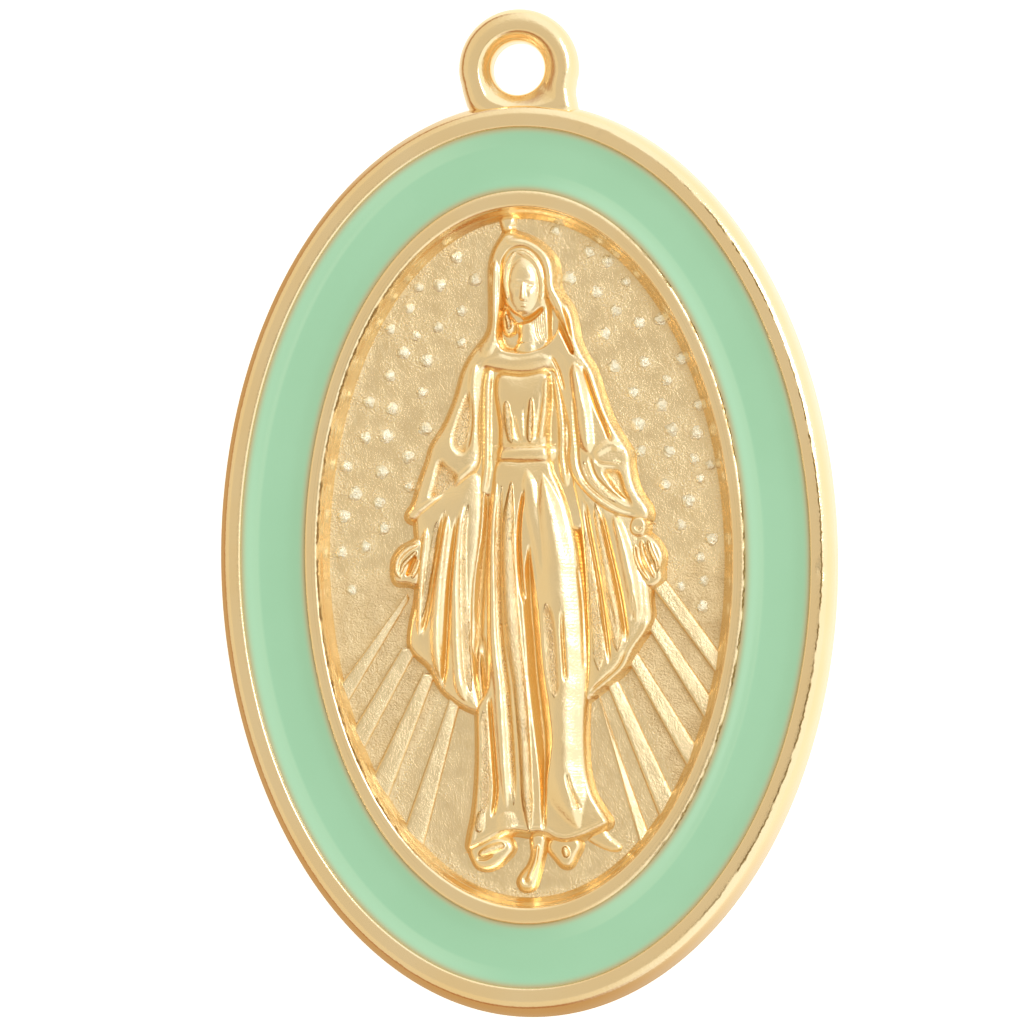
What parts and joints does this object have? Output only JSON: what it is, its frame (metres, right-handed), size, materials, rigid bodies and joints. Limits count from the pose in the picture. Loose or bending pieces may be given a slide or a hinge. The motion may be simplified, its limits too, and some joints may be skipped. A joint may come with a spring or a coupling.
{
  "type": "religious medal pendant",
  "caption": "Oval gold-coloured cast medal with a hanging loop, a ring of pale green enamel and a standing robed figure in relief on a field of rays and dots.",
  "frame": {"origin": "middle of the oval on the flat back, which the medal lies on", "axes": "+Z out of the face of the medal, +Y from the oval's middle to the hanging loop, +X to the right of the figure as seen"},
  "size_m": [0.0234, 0.038, 0.0022],
  "materials": {
    "gold_plate": "polished",
    "mint_enamel": "gloss"
  },
  "bodies": {
    "root": {"medal_casting": "gold_plate", "enamel_band": "mint_enamel"}
  },
  "joints": []
}
